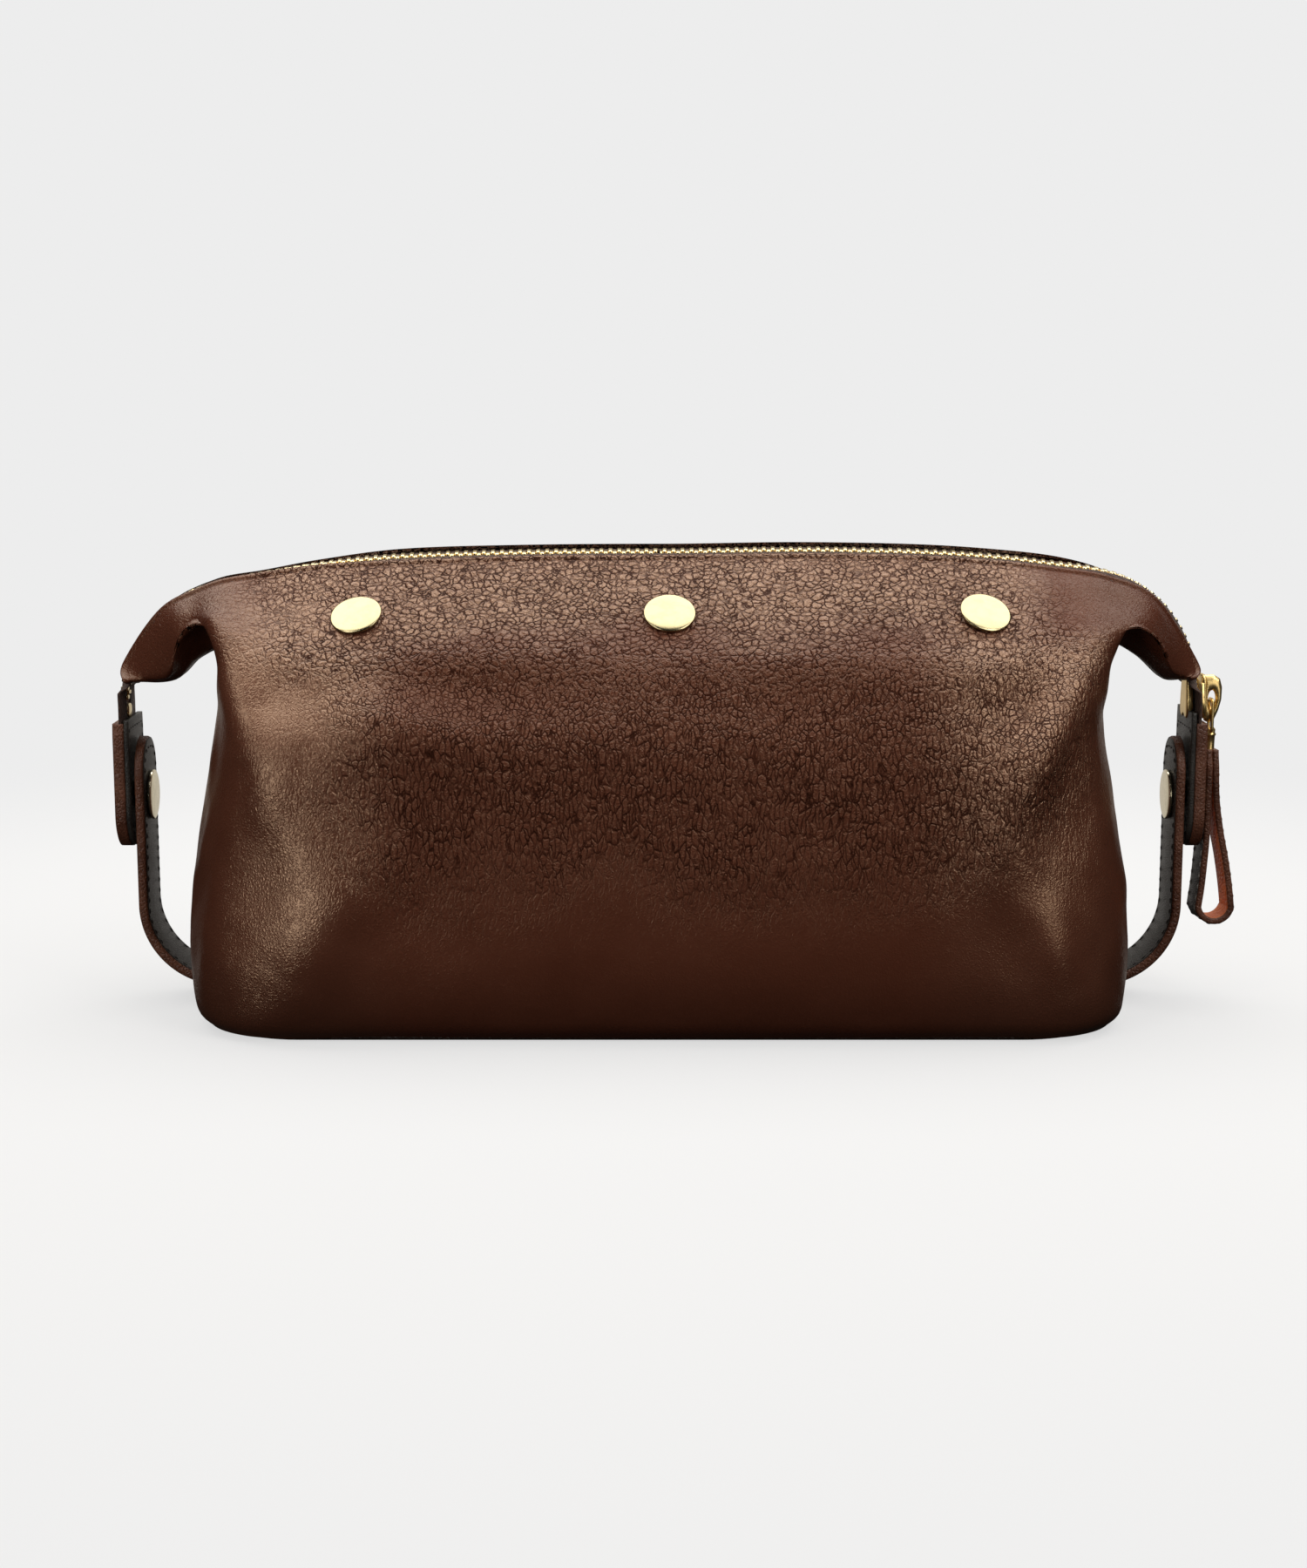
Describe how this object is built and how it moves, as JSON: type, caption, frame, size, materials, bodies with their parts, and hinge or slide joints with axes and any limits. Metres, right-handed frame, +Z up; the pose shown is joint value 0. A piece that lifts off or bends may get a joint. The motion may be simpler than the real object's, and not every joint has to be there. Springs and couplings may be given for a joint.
{
  "type": "shaving kit bag",
  "caption": "Zipped leather wash bag with folded ears at both ends, snapped side straps, brass snap caps and a leather zip pull.",
  "frame": {"origin": "middle of the base, on the surface the bag stands on", "axes": "+X along the zip towards the slider's end, -Y towards the front with the three caps, +Z up"},
  "size_m": [0.3324, 0.117, 0.1356],
  "materials": {
    "leather_brown": "satin",
    "leather_dark": "satin",
    "lining_cloth": "matte",
    "brass": "polished",
    "board": "matte"
  },
  "bodies": {
    "bag_body": {"front_panel": "leather_brown", "back_panel": "leather_brown", "base_panel": "leather_dark", "front_lining": "lining_cloth", "back_lining": "lining_cloth", "base_board": "board", "base_lining": "lining_cloth", "zip_tape_front": "lining_cloth", "zip_tape_back": "lining_cloth", "zip_teeth_front": "brass", "zip_teeth_back": "brass", "front_snap_caps": "brass", "front_snap_backs": "brass"},
    "left_ear": {"left_ear_front_leaf": "leather_brown", "left_ear_back_leaf": "leather_brown", "left_tape_front": "lining_cloth", "left_tape_back": "lining_cloth", "left_teeth_front": "brass", "left_teeth_back": "brass", "left_bottom_stop": "brass", "left_tab_outer": "leather_brown", "left_tab_inner": "leather_dark", "left_tab_stud": "brass"},
    "right_ear": {"right_ear_front_leaf": "leather_brown", "right_ear_back_leaf": "leather_brown", "right_tape_front": "lining_cloth", "right_tape_back": "lining_cloth", "right_teeth_front": "brass", "right_teeth_back": "brass", "right_top_stops": "brass", "right_tab_outer": "leather_brown", "right_tab_inner": "leather_dark", "right_tab_stud": "brass"},
    "slider": {"slider_body": "brass", "slider_bail": "brass"},
    "link": {"pull_link": "brass"},
    "pull": {"pull_ferrule": "brass", "pull_loop": "leather_brown", "pull_rivet": "brass"},
    "left_strap": {"left_strap_leather": "leather_brown", "left_strap_lining": "leather_dark", "left_strap_cap": "brass", "left_strap_socket": "brass", "left_snap_springs": "brass"},
    "right_strap": {"right_strap_leather": "leather_brown", "right_strap_lining": "leather_dark", "right_strap_cap": "brass", "right_strap_socket": "brass", "right_snap_springs": "brass"}
  },
  "joints": [
    {"name": "left_ear_fold", "type": "hinge", "parent": "bag_body", "child": "left_ear", "pos_m": [-0.1178, 0, 0.1326], "axis": [0, 1, 0], "range_deg": [0, 50]},
    {"name": "right_ear_fold", "type": "hinge", "parent": "bag_body", "child": "right_ear", "pos_m": [0.1178, 0, 0.1326], "axis": [0, -1, 0], "range_deg": [0, 50]},
    {"name": "slider_run", "type": "hinge", "parent": "right_ear", "child": "slider", "pos_m": [0.118, 0, 0.091], "axis": [0, -1, 0], "range_deg": [0, 60]},
    {"name": "pull_link_swing", "type": "hinge", "parent": "slider", "child": "link", "pos_m": [0.1633, 0, 0.09], "axis": [0, -1, 0], "range_deg": [0, 90]},
    {"name": "pull_loop_swing", "type": "hinge", "parent": "link", "child": "pull", "pos_m": [0.1633, 0, 0.0805], "axis": [0, -1, 0], "range_deg": [0, 60]},
    {"name": "left_strap_swing", "type": "hinge", "parent": "bag_body", "child": "left_strap", "pos_m": [-0.1362, 0, 0.006], "axis": [0, 1, 0], "range_deg": [0, 10]},
    {"name": "right_strap_swing", "type": "hinge", "parent": "bag_body", "child": "right_strap", "pos_m": [0.1362, 0, 0.006], "axis": [0, -1, 0], "range_deg": [0, 10]}
  ]
}
